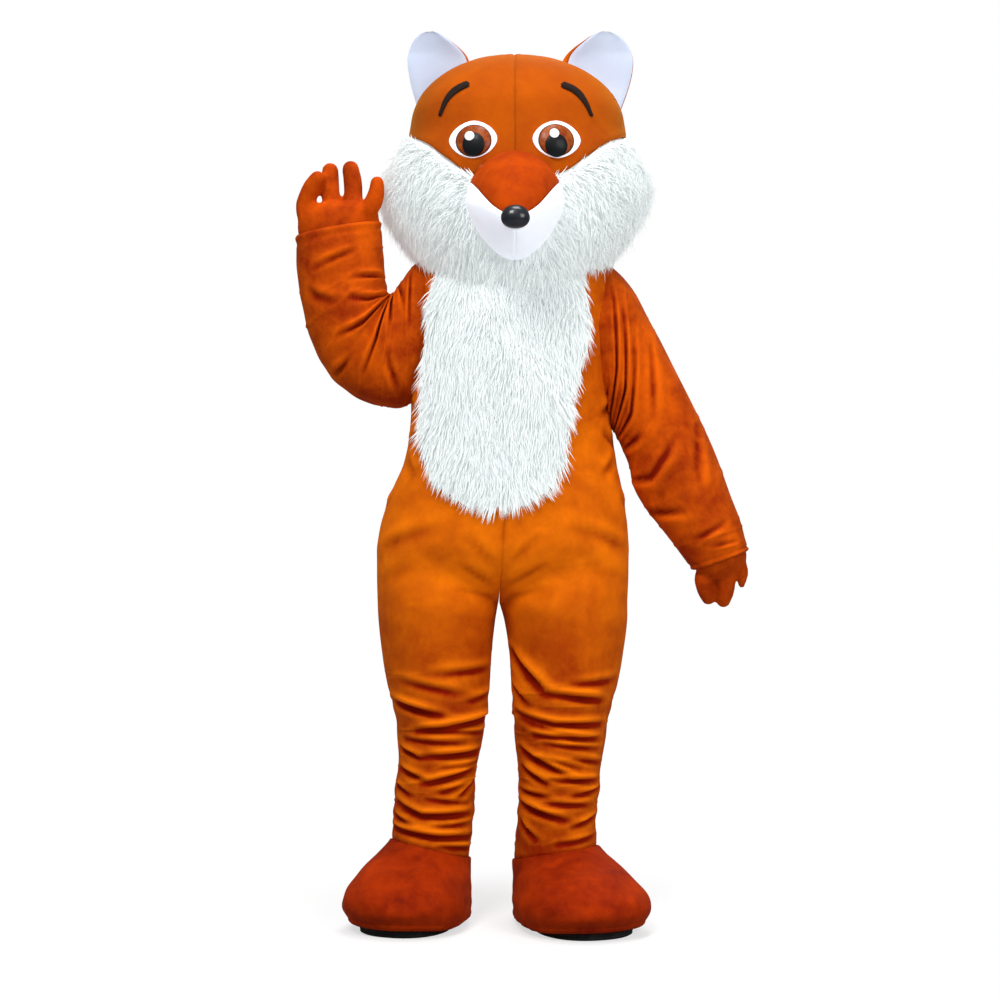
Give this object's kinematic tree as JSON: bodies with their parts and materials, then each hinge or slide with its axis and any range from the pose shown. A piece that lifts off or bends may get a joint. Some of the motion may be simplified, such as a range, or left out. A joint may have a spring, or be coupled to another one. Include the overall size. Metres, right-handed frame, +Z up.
{
  "type": "mascot costume",
  "caption": "Full-body fox mascot costume: large plush head, jumpsuit with a furry bib, mitten-like gloves and padded shoe covers, standing with one arm raised in a wave.",
  "frame": {"origin": "the wearer mount, between the shoulders at shoulder height (1360 mm above the floor), where the jumpsuit hangs from the wearer", "axes": "+Z up, the face looks along -Y, the raised arm is on the -X side"},
  "size_m": [0.929, 0.5576, 1.846],
  "materials": {
    "orange_plush": "short-pile plush, matte with a soft sheen",
    "rust_plush": "short-pile plush, matte",
    "white_fur": "long-pile faux fur",
    "white_plush": "smooth short plush",
    "brown_felt": "felt",
    "eye_brown": "glossy dome",
    "eye_black": "glossy print",
    "eye_glint": "glossy print",
    "nose_black": "glossy",
    "sole_rubber": "matte rubber"
  },
  "bodies": {
    "root": {"front_left": "orange_plush", "front_right": "orange_plush", "back_left": "orange_plush", "back_right": "orange_plush", "sleeve_left": "orange_plush", "sleeve_right": "orange_plush", "crown_left": "orange_plush", "crown_right": "orange_plush", "head_back_left": "orange_plush", "head_back_right": "orange_plush", "muzzle_top": "orange_plush", "ear_back_left": "orange_plush", "ear_back_right": "orange_plush", "glove_left": "rust_plush", "glove_right": "rust_plush", "shoe_left": "rust_plush", "shoe_right": "rust_plush", "back_zip": "rust_plush", "bib": "white_fur", "cheek_left": "white_fur", "cheek_right": "white_fur", "jaw_left": "white_plush", "jaw_right": "white_plush", "ear_front_left": "white_plush", "ear_front_right": "white_plush", "eye_white_left": "white_plush", "eye_white_right": "white_plush", "brow_left": "brown_felt", "brow_right": "brown_felt", "iris_left": "eye_brown", "iris_right": "eye_brown", "pupil_left": "eye_black", "pupil_right": "eye_black", "glint_left": "eye_glint", "glint_right": "eye_glint", "nose": "nose_black", "sole_left": "sole_rubber", "sole_right": "sole_rubber"}
  },
  "joints": []
}
